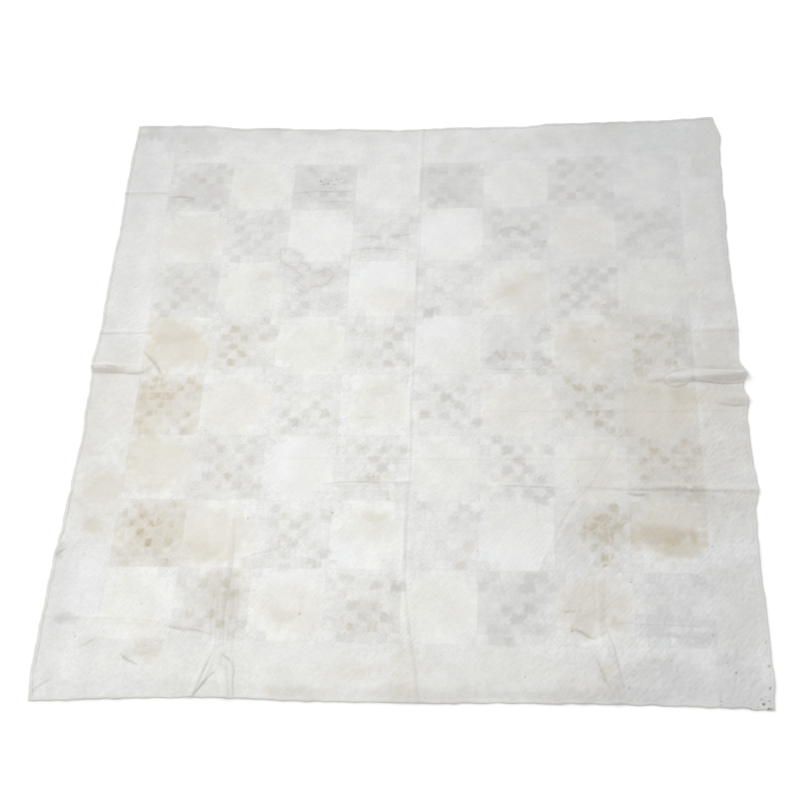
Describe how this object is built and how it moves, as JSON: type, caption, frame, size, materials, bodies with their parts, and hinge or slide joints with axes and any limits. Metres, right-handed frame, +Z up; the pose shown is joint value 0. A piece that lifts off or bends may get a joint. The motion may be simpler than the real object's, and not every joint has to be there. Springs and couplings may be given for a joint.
{
  "type": "irish chain quilt",
  "caption": "Old washed-out patchwork bed quilt lying flat: an irish chain centre of small squares, plain borders and a narrow binding, with tucks at its sides and puckers at its near edge.",
  "frame": {"origin": "middle of the quilt's outline, on the surface it lies on", "axes": "+X across the quilt to its right edge, +Y along it to its far edge, +Z up out of its face"},
  "size_m": [2.107, 2.143, 0.0213],
  "materials": {
    "patchwork": "faded washed cotton patchwork, hand quilted, matt",
    "border": "plain washed cotton, quilted, matt",
    "binding": "plain cotton binding, yellowed, matt"
  },
  "bodies": {
    "root": {"patchwork_centre": "patchwork", "border_far": "border", "border_near": "border", "border_right": "border", "border_left": "border", "binding_far": "binding", "binding_near": "binding", "binding_right": "binding", "binding_left": "binding"}
  },
  "joints": []
}
